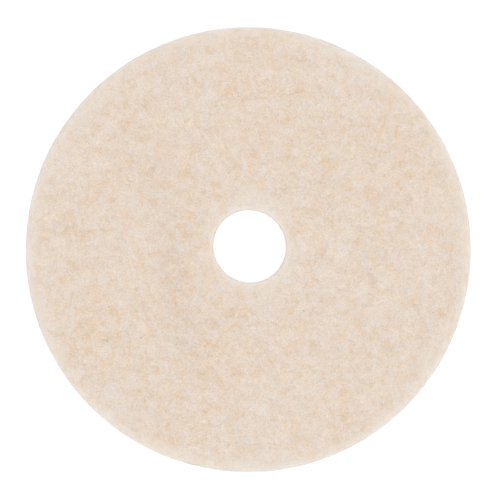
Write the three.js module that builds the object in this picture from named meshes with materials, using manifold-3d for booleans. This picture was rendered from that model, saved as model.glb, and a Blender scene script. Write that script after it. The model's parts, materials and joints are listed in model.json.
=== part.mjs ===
import * as THREE from 'three';
import { mergeVertices } from 'three/addons/utils/BufferGeometryUtils.js';
import Module from 'manifold-3d';

// Floor polishing pad: one disc of lofty nonwoven fibre web, die cut to a circle,
// with a round centre hole that was punched a little off the disc's centre.
// Millimetres, +Z up. The origin is the middle of the lower face, so the pad
// lies on Z = 0 as it would on a floor.

// Driving dimensions
const padDiameter = 508; // over the fullest part of the cut wall
const padThickness = 25.4; // between the two flat faces
const holeDiameter = 83; // mean, at the narrowest part of the hole's wall
const holeOffsetX = 1.6; // from the disc's centre to the hole's centre
const holeOffsetY = 3.7;
const holeSpring = 0.5; // the cut hole sprang oval: this much on the long radius
const holeSpringAngle = -42; // degrees from +X to the hole's long axis

// A die pushes soft web in before it cuts through. The face that it enters keeps a
// long, low shoulder, the face that it leaves a short one, and the wall between
// them springs back to a slight belly. Reach is measured along the face and drop
// is measured down from it.
const rimCut = { entryReach: 10, entryDrop: 3.2, exitReach: 5, exitDrop: 1.8, belly: 1.1 };
const holeCut = { entryReach: 6.5, entryDrop: 2.4, exitReach: 3.5, exitDrop: 1.3, belly: 0.8 };

const cutterOvershoot = 5; // how far the hole's cutter stands out past both faces

// Fineness of the facets
const rimSegments = 128;
const holeSegments = 64;
const wallDivisions = 4; // along the belly, and twice as many round each shoulder

const quarterTurn = Math.PI / 2;

const webMaterial = new THREE.MeshStandardMaterial( {
	name: 'pad_web',
	color: 0xe6d5c4,
	roughness: 0.95,
	metalness: 0,
} );

// The section of a cut wall, from the lower face to the upper one. The web lies
// towards the axis at the rim (side 1) and away from the axis at the hole (side -1).
function drawCutWall( section, radius, cut, side ) {

	const wall = radius - side * cut.belly;
	const exitCentre = wall - side * cut.exitReach;
	const entryCentre = wall - side * cut.entryReach;
	const entryBottom = padThickness - cut.entryDrop;
	const atWall = side > 0 ? 0 : Math.PI;
	const turnsBack = side < 0;

	section.lineTo( exitCentre, 0 );
	section.absellipse(
		exitCentre, cut.exitDrop, cut.exitReach, cut.exitDrop, 3 * quarterTurn, atWall, turnsBack,
	);
	section.quadraticCurveTo(
		radius + side * cut.belly, ( cut.exitDrop + entryBottom ) / 2, wall, entryBottom,
	);
	section.absellipse(
		entryCentre, entryBottom, cut.entryReach, cut.entryDrop, atWall, quarterTurn, turnsBack,
	);

}

// Turns a section round the pad's axis. The section starts and ends on that axis.
function revolve( section, segments ) {

	return new THREE.LatheGeometry( section.getPoints( wallDivisions ), segments ).rotateX( quarterTurn );

}

// The disc before it is punched: flat faces, joined by the rim's cut wall.
function discGeometry() {

	const section = new THREE.Path();
	section.moveTo( 0, 0 );
	drawCutWall( section, padDiameter / 2, rimCut, 1 );
	section.lineTo( 0, padThickness );
	return revolve( section, rimSegments );

}

// What the punch takes out: a round slug with flared ends, stretched to the oval
// that the hole sprang to, and set at the hole's place.
function holeGeometry() {

	const radius = holeDiameter / 2;
	const flare = holeCut.belly + holeCut.exitReach;
	const section = new THREE.Path();
	section.moveTo( 0, - cutterOvershoot );
	section.lineTo( radius + flare, - cutterOvershoot );
	drawCutWall( section, radius, holeCut, - 1 );
	section.lineTo( radius + holeCut.belly + holeCut.entryReach, padThickness + cutterOvershoot );
	section.lineTo( 0, padThickness + cutterOvershoot );

	const spring = holeSpring / radius;
	const longAxis = THREE.MathUtils.degToRad( holeSpringAngle );
	return revolve( section, holeSegments )
		.scale( 1 + spring, 1 - spring, 1 )
		.rotateZ( longAxis )
		.translate( holeOffsetX, holeOffsetY, 0 );

}

const wasm = await Module();
wasm.setup();

// A closed solid from a revolved geometry. Its points on the axis and along the
// seam are merged, and the triangles that this folds up are left out.
function toSolid( geometry ) {

	geometry.deleteAttribute( 'normal' );
	geometry.deleteAttribute( 'uv' );
	const merged = mergeVertices( geometry );
	const corners = [];
	for ( let i = 0; i < merged.index.count; i += 3 ) {

		const [ a, b, c ] = [ 0, 1, 2 ].map( ( k ) => merged.index.getX( i + k ) );
		if ( a !== b && b !== c && c !== a ) corners.push( a, b, c );

	}

	return new wasm.Manifold( new wasm.Mesh( {
		numProp: 3,
		vertProperties: merged.attributes.position.array,
		triVerts: new Uint32Array( corners ),
	} ) );

}

function toGeometry( solid ) {

	const mesh = solid.getMesh();
	const geometry = new THREE.BufferGeometry();
	geometry.setAttribute( 'position', new THREE.BufferAttribute( mesh.vertProperties, 3 ) );
	geometry.setIndex( new THREE.BufferAttribute( mesh.triVerts, 1 ) );
	geometry.computeVertexNormals();
	return geometry;

}

const punchedDisc = toSolid( discGeometry() ).subtract( toSolid( holeGeometry() ) );

const pad = new THREE.Mesh( toGeometry( punchedDisc ), webMaterial );
pad.name = 'pad';

const floorPad = new THREE.Group();
floorPad.add( pad );

export default floorPad;
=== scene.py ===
import json
import math

import bmesh
import bpy
import numpy as np
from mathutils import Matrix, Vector
from mathutils.bvhtree import BVHTree


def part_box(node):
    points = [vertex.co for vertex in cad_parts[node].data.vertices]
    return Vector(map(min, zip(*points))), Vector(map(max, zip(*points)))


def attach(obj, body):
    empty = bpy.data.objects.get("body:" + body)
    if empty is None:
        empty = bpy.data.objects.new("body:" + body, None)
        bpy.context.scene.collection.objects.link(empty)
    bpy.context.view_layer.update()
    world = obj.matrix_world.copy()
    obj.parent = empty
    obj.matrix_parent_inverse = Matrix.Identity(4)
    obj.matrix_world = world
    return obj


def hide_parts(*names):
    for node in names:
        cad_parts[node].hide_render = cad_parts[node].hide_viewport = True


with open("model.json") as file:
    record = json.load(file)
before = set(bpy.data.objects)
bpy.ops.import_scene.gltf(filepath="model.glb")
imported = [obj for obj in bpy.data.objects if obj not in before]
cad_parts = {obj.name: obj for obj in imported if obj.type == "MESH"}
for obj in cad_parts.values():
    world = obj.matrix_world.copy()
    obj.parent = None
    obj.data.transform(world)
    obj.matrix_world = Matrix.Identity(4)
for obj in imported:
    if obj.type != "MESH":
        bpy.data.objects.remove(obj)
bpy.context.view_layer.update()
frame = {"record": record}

# The disc's size is the frame's, and the hole's place is that of the opening in it
padLow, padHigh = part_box("pad")
padRadius = (padHigh.x - padLow.x) / 2
padHeight = padHigh.z - padLow.z
padCentre = Vector((0, 0, 0))
holeLow, holeHigh = next(
    opening["box_m"]
    for opening in frame["record"]["physics"]["openings"]
    if opening["name"] == "centre_hole"
)
holeCentre = Vector(((holeLow[0] + holeHigh[0]) / 2, (holeLow[1] + holeHigh[1]) / 2, 0))
holeRadius = 0.0416

# The cut walls: how far the die drew each face in, along the face and down from it
rimCut = {
    "entryReach": 0.010, "entryDrop": 0.0032, "exitReach": 0.005, "exitDrop": 0.0018,
    "belly": 0.0011,
}
holeCut = {
    "entryReach": 0.0065, "entryDrop": 0.0024, "exitReach": 0.0035, "exitDrop": 0.0013,
    "belly": 0.0003,
}
rimSpring = 0.0004  # the cut fibres spring out a little past the solid
holeSpring = {"stretch": 0.0005, "angle": math.radians(-42), "fade": 0.03}


def deselectAll():
    if bpy.context.mode != "OBJECT":
        bpy.ops.object.mode_set(mode="OBJECT")
    bpy.ops.object.select_all(action="DESELECT")


def pick(piece):
    deselectAll()
    piece.select_set(True)
    bpy.context.view_layer.objects.active = piece


def applyAll(piece):
    pick(piece)
    for modifier in list(piece.modifiers):
        bpy.ops.object.modifier_apply(modifier=modifier.name)


def cutSection(radius, cut, side, arcSteps=8, bellySteps=6):
    # Radius and height up a cut wall: the short shoulder, the belly, the long shoulder.
    # side is 1 at the rim, where the web lies inside the wall, and -1 at the hole
    wall = radius - side * cut["belly"]
    low, high = cut["exitDrop"], padHeight - cut["entryDrop"]
    section = []
    for step in range(arcSteps + 1):
        turn = step / arcSteps * math.pi / 2
        section.append((wall - side * cut["exitReach"] * (1 - math.sin(turn)),
                        cut["exitDrop"] * (1 - math.cos(turn))))
    for step in range(1, bellySteps):
        share = step / bellySteps
        section.append((wall + side * cut["belly"] * 4 * share * (1 - share),
                        low + (high - low) * share))
    for step in range(arcSteps + 1):
        turn = step / arcSteps * math.pi / 2
        section.append((wall - side * cut["entryReach"] * (1 - math.cos(turn)),
                        high + cut["entryDrop"] * math.sin(turn)))
    return section


rimSection = cutSection(padRadius + rimSpring, rimCut, 1)
holeSection = cutSection(holeRadius, holeCut, -1)

# The web itself

web = {
    "segments": 288,
    "loopMargin": 0.0005,  # how far from its radius a point still belongs to a wall's foot
    "voxel": 0.0022,  # the web is remeshed evenly, so that the relief has one grain all over
    "relief": [  # name, size of its lumps, height, octaves
        ("loft", 0.055, 0.0006, 1),
        ("tufts", 0.011, 0.0004, 2),
        ("nap", 0.0036, 0.0003, 1),
    ],
    "wallSlope": 2.2,  # a point is wall so far as its normal rises by less than 1 in this
    "layerRelief": 0.0013,  # the laid layers showing in the cut walls
    "layerHeight": 0.0034,
    "layerLength": 0.02,
}


def pickOpenEdges(piece, belongs=lambda edge: True):
    bpy.ops.mesh.select_all(action="DESELECT")
    mesh = bmesh.from_edit_mesh(piece.data)
    for edge in mesh.edges:
        if len(edge.link_faces) < 2 and belongs(edge):
            edge.select_set(True)
    bmesh.update_edit_mesh(piece.data)


def raiseWall(piece, centre, section):
    # Extrudes the open loop at the foot of a wall up through the rings of its section
    foot = section[0][0]

    def atFoot(edge):
        return all(abs((v.co - centre).xy.length - foot) < web["loopMargin"] for v in edge.verts)

    pickOpenEdges(piece, atFoot)
    for (radius, height), (nextRadius, nextHeight) in zip(section, section[1:]):
        rise = nextHeight - height
        scale = nextRadius / radius
        bpy.ops.mesh.extrude_edges_move(TRANSFORM_OT_translate={"value": (0, 0, rise)})
        bpy.ops.transform.resize(value=(scale, scale, 1), center_override=centre)


def addRelief(piece, name, size, strength, octaves):
    texture = bpy.data.textures.new(name, "CLOUDS")
    texture.noise_scale = size
    texture.noise_depth = octaves
    pick(piece)
    bpy.ops.object.modifier_add(type="DISPLACE")
    displace = piece.modifiers[-1]
    displace.texture = texture
    displace.texture_coords = "LOCAL"
    displace.strength = strength
    return displace


def markWalls(piece):
    # How much each point belongs to a cut wall, from the slope of the mesh there
    group = piece.vertex_groups.new(name="cutWalls")
    for vertex in piece.data.vertices:
        upright = 1 - min(abs(vertex.normal.z) * web["wallSlope"], 1)
        if upright > 0:
            group.add([vertex.index], upright, "REPLACE")


def addLayers(piece):
    # The laid layers are a flattened noise, which an empty squashes
    bpy.ops.object.empty_add(scale=(web["layerLength"], web["layerLength"], web["layerHeight"]))
    squash = bpy.context.object
    displace = addRelief(piece, "layers", 1, web["layerRelief"], 1)
    displace.texture_coords = "OBJECT"
    displace.texture_coords_object = squash
    displace.vertex_group = "cutWalls"
    return squash


def springHole(piece):
    # The punched hole sprang slightly oval
    places = np.empty(len(piece.data.vertices) * 3)
    piece.data.vertices.foreach_get("co", places)
    places = places.reshape(-1, 3)
    away = places[:, :2] - np.array(holeCentre.xy)
    distance = np.linalg.norm(away, axis=1)
    angle = np.arctan2(away[:, 1], away[:, 0])
    fade = np.clip(1 - (distance - holeRadius) / holeSpring["fade"], 0, 1)
    push = holeSpring["stretch"] * np.cos(2 * (angle - holeSpring["angle"])) * fade
    places[:, :2] += away / distance[:, None] * push[:, None]
    places[:, 2] = np.clip(places[:, 2], 0, None)  # it lies on the floor
    piece.data.vertices.foreach_set("co", places.ravel())
    piece.data.update()


def modelWeb():
    deselectAll()
    bpy.ops.mesh.primitive_circle_add(vertices=web["segments"], radius=rimSection[0][0])
    piece = bpy.context.object
    piece.name = "padWeb"
    bpy.ops.object.mode_set(mode="EDIT")
    bpy.ops.mesh.primitive_circle_add(
        vertices=web["segments"], radius=holeSection[0][0], location=holeCentre
    )
    bpy.ops.mesh.select_all(action="SELECT")
    bpy.ops.mesh.bridge_edge_loops()
    raiseWall(piece, padCentre, rimSection)
    raiseWall(piece, holeCentre, holeSection)
    pickOpenEdges(piece)  # both top loops, with the upper face between them
    bpy.ops.mesh.bridge_edge_loops()
    bpy.ops.mesh.select_all(action="SELECT")
    bpy.ops.mesh.normals_make_consistent(inside=False)
    bpy.ops.object.mode_set(mode="OBJECT")

    pick(piece)
    bpy.ops.object.modifier_add(type="REMESH")
    remesh = piece.modifiers[-1]
    remesh.mode = "VOXEL"
    remesh.voxel_size = web["voxel"]
    applyAll(piece)

    markWalls(piece)
    for relief in web["relief"]:
        addRelief(piece, *relief)
    squash = addLayers(piece)
    applyAll(piece)
    bpy.data.objects.remove(squash)
    piece.vertex_groups.clear()
    springHole(piece)
    pick(piece)
    bpy.ops.object.shade_smooth()
    return piece


# Fibres that lie over the web

random = np.random.default_rng(20)

# A fibre rises and dives in waves as it goes, and both of its ends sink into the web
fibre = {
    "steps": 6, "wave": 1.9, "sink": 0.0002, "liftShares": (0.4, 1), "sides": 3, "tipWidth": 0.6,
    "weld": 0.000001,
}
faceStrands = {
    "tries": 9000, "count": 5200, "length": (0.010, 0.026), "bend": 0.3, "crimp": 0.8,
    "lift": 0.00001, "radius": (0.00004, 0.00007),
}
rimStrands = {
    "tries": 16000, "count": 3600, "length": (0.010, 0.034), "bend": 0.2, "crimp": 0.45,
    "lift": 0.0001, "radius": (0.00005, 0.00009),
}
holeStrands = {
    "tries": 4000, "count": 700, "length": (0.008, 0.024), "bend": 0.2, "crimp": 0.45,
    "lift": 0.00002, "radius": (0.000055, 0.0001),
}
faceLay = {"margin": 0.001}  # what stays free of them beside the two cuts
wallLay = {
    "top": 0.85,  # the face's own fibres cover the rest of the long shoulder
    "level": 0.45,  # they lie more level than the courses that they are made from
}


def wander(made):
    # Flat courses of crimped fibres about their own middles, one row of places for each
    count, steps = made["tries"], fibre["steps"]
    size = random.uniform(*made["length"], count)
    heading = random.uniform(0, 2 * math.pi, (count, 1))
    turns = random.normal(0, made["bend"], (count, 1))
    turns = turns + random.normal(0, made["crimp"], (count, steps))
    heading = heading + np.cumsum(turns, axis=1)
    stride = np.stack([np.cos(heading), np.sin(heading)], axis=-1) * (size / steps)[:, None, None]
    course = np.concatenate([np.zeros((count, 1, 2)), np.cumsum(stride, axis=1)], axis=1)
    return course - course.mean(axis=1, keepdims=True)


def overFace(height):
    # Courses spread over a flat face, as near its edges as they fit
    def spread(course):
        count = len(course)
        angle = random.uniform(0, 2 * math.pi, count)
        radius = np.sqrt(random.uniform(0, 1, count)) * padRadius
        middle = np.stack([np.cos(angle), np.sin(angle)], axis=-1) * radius[:, None]
        course = course + middle[:, None]
        fromRim = padRadius - np.linalg.norm(course, axis=-1)
        fromHole = np.linalg.norm(course - np.array(holeCentre.xy), axis=-1) - holeRadius
        inside = (np.minimum(fromRim, fromHole) > faceLay["margin"]).all(axis=1)
        places = np.concatenate([course, np.full(course.shape[:2] + (1,), height)], axis=-1)
        return places[inside]
    return spread


def overWall(section, centre):
    # Courses wrapped round a cut wall and over its shoulders
    section = np.array(section)
    along = np.concatenate([[0], np.cumsum(np.linalg.norm(np.diff(section, axis=0), axis=1))])
    turnRadius = section[:, 0].mean()
    top = along[-1] * wallLay["top"]

    def spread(course):
        count = len(course)
        around = random.uniform(0, 2 * math.pi, count)
        up = random.uniform(0, top, count)
        angle = around[:, None] + course[..., 0] / turnRadius
        height = course[..., 1] * wallLay["level"] + up[:, None]
        inside = ((height > 0) & (height < top)).all(axis=1)
        radius = np.interp(height, along, section[:, 0])
        rise = np.interp(height, along, section[:, 1])
        places = np.stack([centre.x + radius * np.cos(angle), centre.y + radius * np.sin(angle),
                           rise], axis=-1)
        return places[inside]
    return spread


def layOn(tree, places, lift):
    # Sets each place on the web, raised along the web's own slope there
    settled = np.empty_like(places)
    for row in range(places.shape[0]):
        for step in range(places.shape[1]):
            spot, normal = tree.find_nearest(places[row, step])[:2]
            settled[row, step] = spot + normal * lift[row, step]
    return settled


def makeCorners():
    # The section of a fibre, which is swept along its course
    deselectAll()
    bpy.ops.curve.primitive_bezier_circle_add(radius=1)
    corners = bpy.context.object
    corners.data.splines.clear()
    ring = corners.data.splines.new("POLY")
    ring.points.add(fibre["sides"] - 1)
    for step, point in enumerate(ring.points):
        turn = step / fibre["sides"] * 2 * math.pi
        point.co = (math.cos(turn), math.sin(turn), 0, 1)
    ring.use_cyclic_u = True
    return corners


def drawStrands(name, courses, thickness):
    # One curve with a spline for each fibre, made into closed tubes
    corners = makeCorners()
    curve = bpy.data.curves.new(name, "CURVE")
    curve.dimensions = "3D"
    curve.bevel_mode = "OBJECT"
    curve.bevel_object = corners
    curve.use_fill_caps = True
    taper = np.ones(courses.shape[1])
    taper[0] = taper[-1] = fibre["tipWidth"]
    width = thickness[:, None] * taper
    for course, radius in zip(courses, width):
        spline = curve.splines.new("POLY")
        spline.points.add(len(course) - 1)
        spline.points.foreach_set("co", np.column_stack([course, np.ones(len(course))]).ravel())
        spline.points.foreach_set("radius", radius)
    piece = bpy.data.objects.new(name, curve)
    bpy.context.collection.objects.link(piece)
    pick(piece)
    bpy.ops.object.convert(target="MESH")
    bpy.data.objects.remove(corners)
    bpy.ops.object.mode_set(mode="EDIT")
    bpy.ops.mesh.select_all(action="SELECT")
    bpy.ops.mesh.remove_doubles(threshold=fibre["weld"])  # the caps are joined to the tubes
    bpy.ops.mesh.normals_make_consistent(inside=False)
    bpy.ops.object.mode_set(mode="OBJECT")
    bpy.ops.object.shade_smooth()
    return piece


def growStrands(name, tree, spread, made):
    places = spread(wander(made))[: made["count"]]
    count, spots = places.shape[:2]
    wave = random.uniform(0, 2 * math.pi, (count, 1)) + np.arange(spots) * fibre["wave"]
    shares = random.uniform(*fibre["liftShares"], (count, 1))
    lift = made["lift"] * (0.5 + 0.5 * np.sin(wave)) * shares
    lift[:, 0] = lift[:, -1] = -fibre["sink"]
    courses = layOn(tree, places, lift)
    thickness = random.uniform(*made["radius"], count)
    piece = drawStrands(name, courses, thickness)
    print(name, count, "fibres", len(piece.data.polygons), "faces")
    return piece


# Materials


def linear(red, green, blue):
    # A colour written as it shows on a screen, 0 to 255
    def one(value):
        value = value / 255
        return value / 12.92 if value <= 0.04045 else ((value + 0.055) / 1.055) ** 2.4
    return (one(red), one(green), one(blue), 1)


class Nodes:
    # Short forms for wiring a material's nodes
    def __init__(self, material):
        self.tree = material.node_tree

    def add(self, kind, **settings):
        node = self.tree.nodes.new(kind)
        for name, value in settings.items():
            setattr(node, name, value)
        return node

    def put(self, socket, value):
        if isinstance(value, bpy.types.NodeSocket):
            self.tree.links.new(value, socket)
        else:
            socket.default_value = value

    def math(self, operation, *values, clamp=False):
        node = self.add("ShaderNodeMath", operation=operation, use_clamp=clamp)
        for socket, value in zip(node.inputs, values):
            self.put(socket, value)
        return node.outputs[0]

    def vector(self, operation, *values, output="Vector"):
        node = self.add("ShaderNodeVectorMath", operation=operation)
        for socket, value in zip(node.inputs, values):
            self.put(socket, value)
        return node.outputs[output]

    def noise(self, place, scale, detail=2.0, roughness=0.5, distortion=0.0):
        node = self.add("ShaderNodeTexNoise")
        self.put(node.inputs["Vector"], place)
        node.inputs["Scale"].default_value = scale
        node.inputs["Detail"].default_value = detail
        node.inputs["Roughness"].default_value = roughness
        node.inputs["Distortion"].default_value = distortion
        return node.outputs["Fac"]

    def mix(self, share, first, second, blend="MIX"):
        node = self.add("ShaderNodeMix", data_type="RGBA", blend_type=blend, clamp_factor=True)
        self.put(node.inputs[0], share)
        self.put(node.inputs[6], first)
        self.put(node.inputs[7], second)
        return node.outputs[2]

    def ramp(self, value, marks):
        # A run of colours, from marks of (position, colour) in rising order
        node = self.add("ShaderNodeValToRGB")
        self.put(node.inputs["Fac"], value)
        stops = node.color_ramp.elements
        while len(stops) < len(marks):
            stops.new(0.5)
        for stop, (position, colour) in zip(stops, marks):
            stop.position, stop.color = position, colour
        return node.outputs["Color"]

    def span(self, value, low, high, toLow=0.0, toHigh=1.0):
        node = self.add("ShaderNodeMapRange", clamp=True)
        self.put(node.inputs["Value"], value)
        node.inputs["From Min"].default_value = low
        node.inputs["From Max"].default_value = high
        node.inputs["To Min"].default_value = toLow
        node.inputs["To Max"].default_value = toHigh
        return node.outputs["Result"]

    def fade(self, distance, reach, strength):
        # The strength at a distance of nothing, and less by e for each reach
        share = self.math("EXPONENT", self.math("DIVIDE", distance, -reach))
        return self.math("MULTIPLY", share, strength, clamp=True)


# In the settings below a noise is a scale, a detail, a roughness and a distortion, a fade is
# a reach and a strength, and a span is a range that is read and the range that it becomes

clumps = {  # of the blended fibres
    "noise": (76, 4.0, 0.9, 0.6),
    "slowNoise": (16, 2.0, 0.6),
    "slowShare": 0.2,
    "stops": [
        (0.24, linear(231, 202, 167)),
        (0.42, linear(234, 215, 194)),
        (0.53, linear(236, 222, 208)),
        (0.76, linear(238, 229, 223)),
    ],
}
paintedEdgeGlow = {  # painted light: the web is thinner at its cut edges and light comes through it, so the edges are drawn paler
    "tone": linear(238, 232, 227),
    "rimFade": (0.0115, 0.6),
    "holeFade": (0.012, 0.5),
    "noise": (14, 2.0, 0.6),
    "unevenSpan": (0.3, 0.7, 0.65, 1.35),
}
layers = {  # streaks of the laid layers in the cut walls, which fade out up the long shoulder; their tones and the shoulder's are also drawn paler than the face, partly painted light against the shade of the steep walls
    "noise": (75, 4.0, 0.75),
    "flat": 5,
    "stops": [
        (0.30, linear(231, 206, 178)),
        (0.47, linear(241, 229, 215)),
        (0.65, linear(246, 239, 232)),
    ],
    # painted light: the long shoulder is drawn pale to offset its shade
    "shoulder": linear(243, 238, 232),
    "heightSpan": (0.0230, 0.0125, 0.3, 1.0),
    "fade": (0.0022, 0.9),
}
greyBand = {  # a faint, smoky, greyer band down the upper face, a little left of the hole
    "start": (-0.1145, 0.1248),
    "end": (-0.0565, -0.161),
    "width": 0.0135,
    "bend": 0.03,  # how far the slow noise moves its line
    "startSpan": (-0.03, 0.10),  # along the line from its start
    "endSpan": (0.31, 0.23),
    "noise": (300, 4.0, 0.9),
    "patchSpan": (0.4, 0.6, 0.2, 1.6),
    "tint": linear(248, 248, 249),
    "strength": 0.8,
}
flecks = {  # two specks of dark fibre on the upper face
    "places": [(-0.122, -0.1005), (0.0633, -0.0696)],
    "span": (0.00091, 0.00042),
    "tone": linear(168, 138, 112),
}
upperSpan = (0.012, 0.02)  # the heights over which the grey band and the flecks set in


def readPlace(nodes):
    # What the tone at a place of the pad depends on
    place = nodes.add("ShaderNodeTexCoord").outputs["Object"]
    flat = nodes.vector("MULTIPLY", place, (1, 1, 0))
    split = nodes.add("ShaderNodeSeparateXYZ")
    nodes.put(split.inputs[0], place)
    fromCentre = nodes.vector("LENGTH", flat, output="Value")
    fromRim = nodes.math("SUBTRACT", padRadius, fromCentre)
    fromHoleCentre = nodes.vector("DISTANCE", flat, tuple(holeCentre), output="Value")
    fromHole = nodes.math("SUBTRACT", fromHoleCentre, holeRadius)
    return {
        "place": place,
        "flat": flat,
        "height": split.outputs["Z"],
        "upper": nodes.span(split.outputs["Z"], *upperSpan),
        "fromRim": fromRim,
        "fromHole": fromHole,
        "nearest": nodes.math("MINIMUM", fromRim, fromHole),
        "slow": nodes.math("SUBTRACT", nodes.noise(place, *clumps["slowNoise"]), 0.5),
    }


def clumpTone(nodes, at):
    slow = nodes.math("MULTIPLY", at["slow"], clumps["slowShare"])
    field = nodes.math("ADD", nodes.noise(at["place"], *clumps["noise"]), slow)
    return nodes.ramp(field, clumps["stops"])


def addPaintedEdgeGlow(nodes, at, colour):
    # Painted light: the cut edges are drawn paler, standing in for the light that comes through
    # the thin web there
    uneven = nodes.span(nodes.noise(at["place"], *paintedEdgeGlow["noise"]), *paintedEdgeGlow["unevenSpan"])
    for distance, fade in (
        (at["fromRim"], paintedEdgeGlow["rimFade"]),
        (at["fromHole"], paintedEdgeGlow["holeFade"]),
    ):
        share = nodes.math("MULTIPLY", nodes.fade(distance, *fade), uneven, clamp=True)
        colour = nodes.mix(share, colour, paintedEdgeGlow["tone"])
    return colour


def addLayerTone(nodes, at, colour):
    # Real layer streaks, drawn paler than the face, partly as painted light on the shaded walls
    squashed = nodes.vector("MULTIPLY", at["place"], (1, 1, layers["flat"]))
    streaks = nodes.ramp(nodes.noise(squashed, *layers["noise"]), layers["stops"])
    below = nodes.span(at["height"], *layers["heightSpan"])
    wall = nodes.fade(at["nearest"], *layers["fade"])
    return nodes.mix(wall, colour, nodes.mix(below, layers["shoulder"], streaks))


def alongLine(nodes, at, direction, start):
    # How far a place lies from the start, measured in one direction on the face
    reach = nodes.vector("DOT_PRODUCT", at["flat"], (direction.x, direction.y, 0), output="Value")
    return nodes.math("SUBTRACT", reach, direction.dot(start))


def addGreyBand(nodes, at, colour):
    start = Vector(greyBand["start"])
    run = Vector(greyBand["end"]) - start
    side = alongLine(nodes, at, Vector((run.y, -run.x)).normalized(), start)
    side = nodes.math("ADD", side, nodes.math("MULTIPLY", at["slow"], greyBand["bend"]))
    side = nodes.math("DIVIDE", side, greyBand["width"])
    bell = nodes.math("EXPONENT", nodes.math("MULTIPLY", nodes.math("MULTIPLY", side, side), -0.5))
    down = alongLine(nodes, at, run.normalized(), start)
    ends = nodes.math(
        "MULTIPLY", nodes.span(down, *greyBand["startSpan"]), nodes.span(down, *greyBand["endSpan"])
    )
    patchy = nodes.span(nodes.noise(at["place"], *greyBand["noise"]), *greyBand["patchSpan"])
    share = nodes.math("MULTIPLY", nodes.math("MULTIPLY", bell, ends), patchy)
    share = nodes.math("MULTIPLY", share, at["upper"])
    share = nodes.math("MULTIPLY", share, greyBand["strength"], clamp=True)
    return nodes.mix(share, colour, nodes.mix(1.0, colour, greyBand["tint"], "MULTIPLY"))


def addFlecks(nodes, at, colour):
    for spot in flecks["places"]:
        away = nodes.vector("DISTANCE", at["flat"], (*spot, 0), output="Value")
        speck = nodes.math("MULTIPLY", nodes.span(away, *flecks["span"]), at["upper"])
        colour = nodes.mix(speck, colour, flecks["tone"])
    return colour


def webTone(nodes, at):
    # The web's colour at a place of the pad, before single fibres vary it
    colour = clumpTone(nodes, at)
    for addTone in (addPaintedEdgeGlow, addLayerTone, addGreyBand, addFlecks):
        colour = addTone(nodes, at, colour)
    return colour


fineFibres = {  # too fine to model: thin curling lines where a noise crosses its middle
    "scales": (170, 230, 310),
    "noise": (1.0, 0.5, 0.8),
    "shift": (0.37, 0.21, 0.13),
    "width": 0.035,
    "tone": linear(243, 231, 217),
    "share": 0.3,
    "bump": 0.6,
}
grain = {
    "noise": (680, 3.0, 0.8),
    "shadeSpan": (0.25, 0.75, 0.83, 1.16),
    "calmFade": (0.009, 0.75),  # there is less of it beside the cuts
    "bumpStrength": 0.5,
    "bumpDistance": 0.0004,
}
webSurface = {
    "Roughness": 0.94,
    "Specular IOR Level": 0.15,
    "Sheen Weight": 0.12,
    "Sheen Roughness": 0.6,
    "Subsurface Weight": 0.8,  # light soaks a little way into the open web
    "Subsurface Radius": (1.0, 0.9, 0.75),
    "Subsurface Scale": 0.0035,
}
strandSurface = {"Roughness": 0.7, "Specular IOR Level": 0.3, "Sheen Weight": 0.1}
strandTones = {  # what the web's tone is multiplied by, from the darkest fibre to the lightest; all above 1, partly a random tone of each fibre and partly painted light that offsets the shade the fibres catch and cast
    "middle": (0.35, (1.12, 1.12, 1.12, 1)),
    "face": ((1.11, 1.05, 0.95, 1), (1.17, 1.19, 1.22, 1)),
    "wall": ((1.09, 1.02, 0.91, 1), (1.16, 1.18, 1.2, 1)),
}


def startMaterial(name, surface):
    material = bpy.data.materials.new(name)
    material.use_nodes = True
    shader = material.node_tree.nodes["Principled BSDF"]
    for socket, value in surface.items():
        shader.inputs[socket].default_value = value
    return material, Nodes(material), shader


def drawFineFibres(nodes, at):
    lines = None
    for turn, scale in enumerate(fineFibres["scales"]):
        shift = tuple(turn * step for step in fineFibres["shift"])
        moved = nodes.vector("ADD", at["place"], shift)
        value = nodes.noise(moved, scale, *fineFibres["noise"])
        edge = nodes.math("ABSOLUTE", nodes.math("SUBTRACT", value, 0.5))
        line = nodes.span(edge, 0.0, fineFibres["width"], 1.0, 0.0)
        lines = line if lines is None else nodes.math("MAXIMUM", lines, line)
    return lines


def webMaterial():
    material, nodes, shader = startMaterial("bondedWeb", webSurface)
    at = readPlace(nodes)
    colour = webTone(nodes, at)
    lines = drawFineFibres(nodes, at)
    colour = nodes.mix(
        nodes.math("MULTIPLY", lines, fineFibres["share"]), colour, fineFibres["tone"]
    )
    rough = nodes.noise(at["place"], *grain["noise"])
    shade = nodes.span(rough, *grain["shadeSpan"])
    shade = nodes.mix(nodes.fade(at["nearest"], *grain["calmFade"]), shade, (1, 1, 1, 1))
    nodes.put(shader.inputs["Base Color"], nodes.mix(1.0, colour, shade, "MULTIPLY"))
    height = nodes.math("ADD", nodes.math("MULTIPLY", lines, fineFibres["bump"]), rough)
    bump = nodes.add("ShaderNodeBump")
    bump.inputs["Strength"].default_value = grain["bumpStrength"]
    bump.inputs["Distance"].default_value = grain["bumpDistance"]
    nodes.put(bump.inputs["Height"], height)
    nodes.put(shader.inputs["Normal"], bump.outputs["Normal"])
    return material


def strandMaterial(name, dark, light):
    # Every fibre keeps the web's tone where it lies, and is brighter by a share of its own: partly
    # a random tone of its own, partly painted light that offsets the shade about the fibres
    material, nodes, shader = startMaterial(name, strandSurface)
    colour = webTone(nodes, readPlace(nodes))
    own = nodes.add("ShaderNodeNewGeometry").outputs["Random Per Island"]
    own = nodes.ramp(own, [(0.0, dark), strandTones["middle"], (1.0, light)])
    nodes.put(shader.inputs["Base Color"], nodes.mix(1.0, colour, own, "MULTIPLY"))
    return material


def dress(piece, material):
    piece.data.materials.clear()
    piece.data.materials.append(material)
    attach(piece, "root")


padWeb = modelWeb()
dress(padWeb, webMaterial())
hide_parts("pad")
print("web modelled", len(padWeb.data.polygons), "faces")

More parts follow.
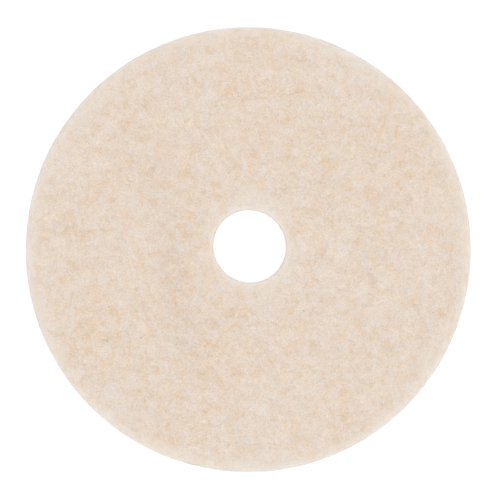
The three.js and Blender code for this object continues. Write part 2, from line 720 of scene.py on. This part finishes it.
tree = BVHTree.FromObject(padWeb, bpy.context.evaluated_depsgraph_get())
faceTone = strandMaterial("webFibres", *strandTones["face"])
wallTone = strandMaterial("cutFibres", *strandTones["wall"])
for name, spread, made, material in (
    ("upperFibres", overFace(padHeight), faceStrands, faceTone),
    ("upperFibresCrossed", overFace(padHeight), faceStrands, faceTone),
    ("lowerFibres", overFace(0), faceStrands, faceTone),
    ("rimFibres", overWall(rimSection, padCentre), rimStrands, wallTone),
    ("holeFibres", overWall(holeSection, holeCentre), holeStrands, wallTone),
):
    piece = growStrands(name, tree, spread, made)
    dress(piece, material)
print("fibres laid")

# Floor, light and camera

studio = {
    "worldStrength": 0.93, "lampStrength": 0.36, "lampTilt": 28, "lampTurn": 40, "lampAngle": 60,
    "floorSize": 60, "floorHeight": -0.0003, "floorWhite": 0.9, "floorGlow": 0.8,
    "floorShade": 0.34,
}


def seenRays(nodes):
    # 1 for the rays that show a thing itself, and 0 for those that only carry its light
    path = nodes.add("ShaderNodeLightPath")
    seen = nodes.math("MAXIMUM", path.outputs["Is Camera Ray"], path.outputs["Is Glossy Ray"])
    return nodes.math("MAXIMUM", seen, path.outputs["Is Transmission Ray"])


def diffuse(nodes, level):
    shader = nodes.add("ShaderNodeBsdfDiffuse")
    shader.inputs["Color"].default_value = (level, level, level, 1)
    return shader.outputs[0]


def makeFloor():
    deselectAll()
    bpy.ops.mesh.primitive_plane_add(
        size=studio["floorSize"], location=(0, 0, studio["floorHeight"])
    )
    floor = bpy.context.object
    floor.name = "studioFloor"
    material = bpy.data.materials.new("studioWhite")
    material.use_nodes = True
    nodes = Nodes(material)
    material.node_tree.nodes.clear()
    glow = nodes.add("ShaderNodeEmission")
    glow.inputs["Strength"].default_value = studio["floorGlow"]
    shown = nodes.add("ShaderNodeAddShader")
    nodes.put(shown.inputs[0], diffuse(nodes, studio["floorShade"]))
    nodes.put(shown.inputs[1], glow.outputs[0])
    choose = nodes.add("ShaderNodeMixShader")
    nodes.put(choose.inputs[0], seenRays(nodes))
    nodes.put(choose.inputs[1], diffuse(nodes, studio["floorWhite"]))
    nodes.put(choose.inputs[2], shown.outputs[0])
    output = nodes.add("ShaderNodeOutputMaterial")
    nodes.put(output.inputs["Surface"], choose.outputs[0])
    floor.data.materials.append(material)


def makeLight():
    world = bpy.data.worlds.new("studio")
    bpy.context.scene.world = world
    world.use_nodes = True
    nodes = Nodes(world)
    back = world.node_tree.nodes["Background"]
    back.inputs["Color"].default_value = (1, 1, 1, 1)
    level = nodes.add("ShaderNodeMix")
    nodes.put(level.inputs[0], seenRays(nodes))
    level.inputs[2].default_value = studio["worldStrength"]
    level.inputs[3].default_value = 1.0
    nodes.put(back.inputs["Strength"], level.outputs[0])
    deselectAll()
    bpy.ops.object.light_add(
        type="SUN",
        rotation=(math.radians(studio["lampTilt"]), 0, math.radians(studio["lampTurn"])),
    )
    lamp = bpy.context.object
    lamp.name = "softKey"
    lamp.data.energy = studio["lampStrength"]
    lamp.data.angle = math.radians(studio["lampAngle"])


photo = {  # the camera looks straight down, almost over the disc's centre
    "width": 0.5719, "offset": (0.0020, -0.0004), "lens": 200, "sensor": 36, "clip": (0.1, 200),
}


def makeCamera():
    deselectAll()
    distance = photo["width"] * photo["lens"] / photo["sensor"]
    place = (*photo["offset"], padHeight / 2 + distance)
    bpy.ops.object.camera_add(location=place, rotation=(0, 0, 0))
    camera = bpy.context.object
    camera.data.lens = photo["lens"]
    camera.data.sensor_width = photo["sensor"]
    camera.data.clip_start, camera.data.clip_end = photo["clip"]
    bpy.context.scene.camera = camera


makeFloor()
makeLight()
makeCamera()
bpy.context.scene.view_settings.view_transform = "Standard"
print("studio set")
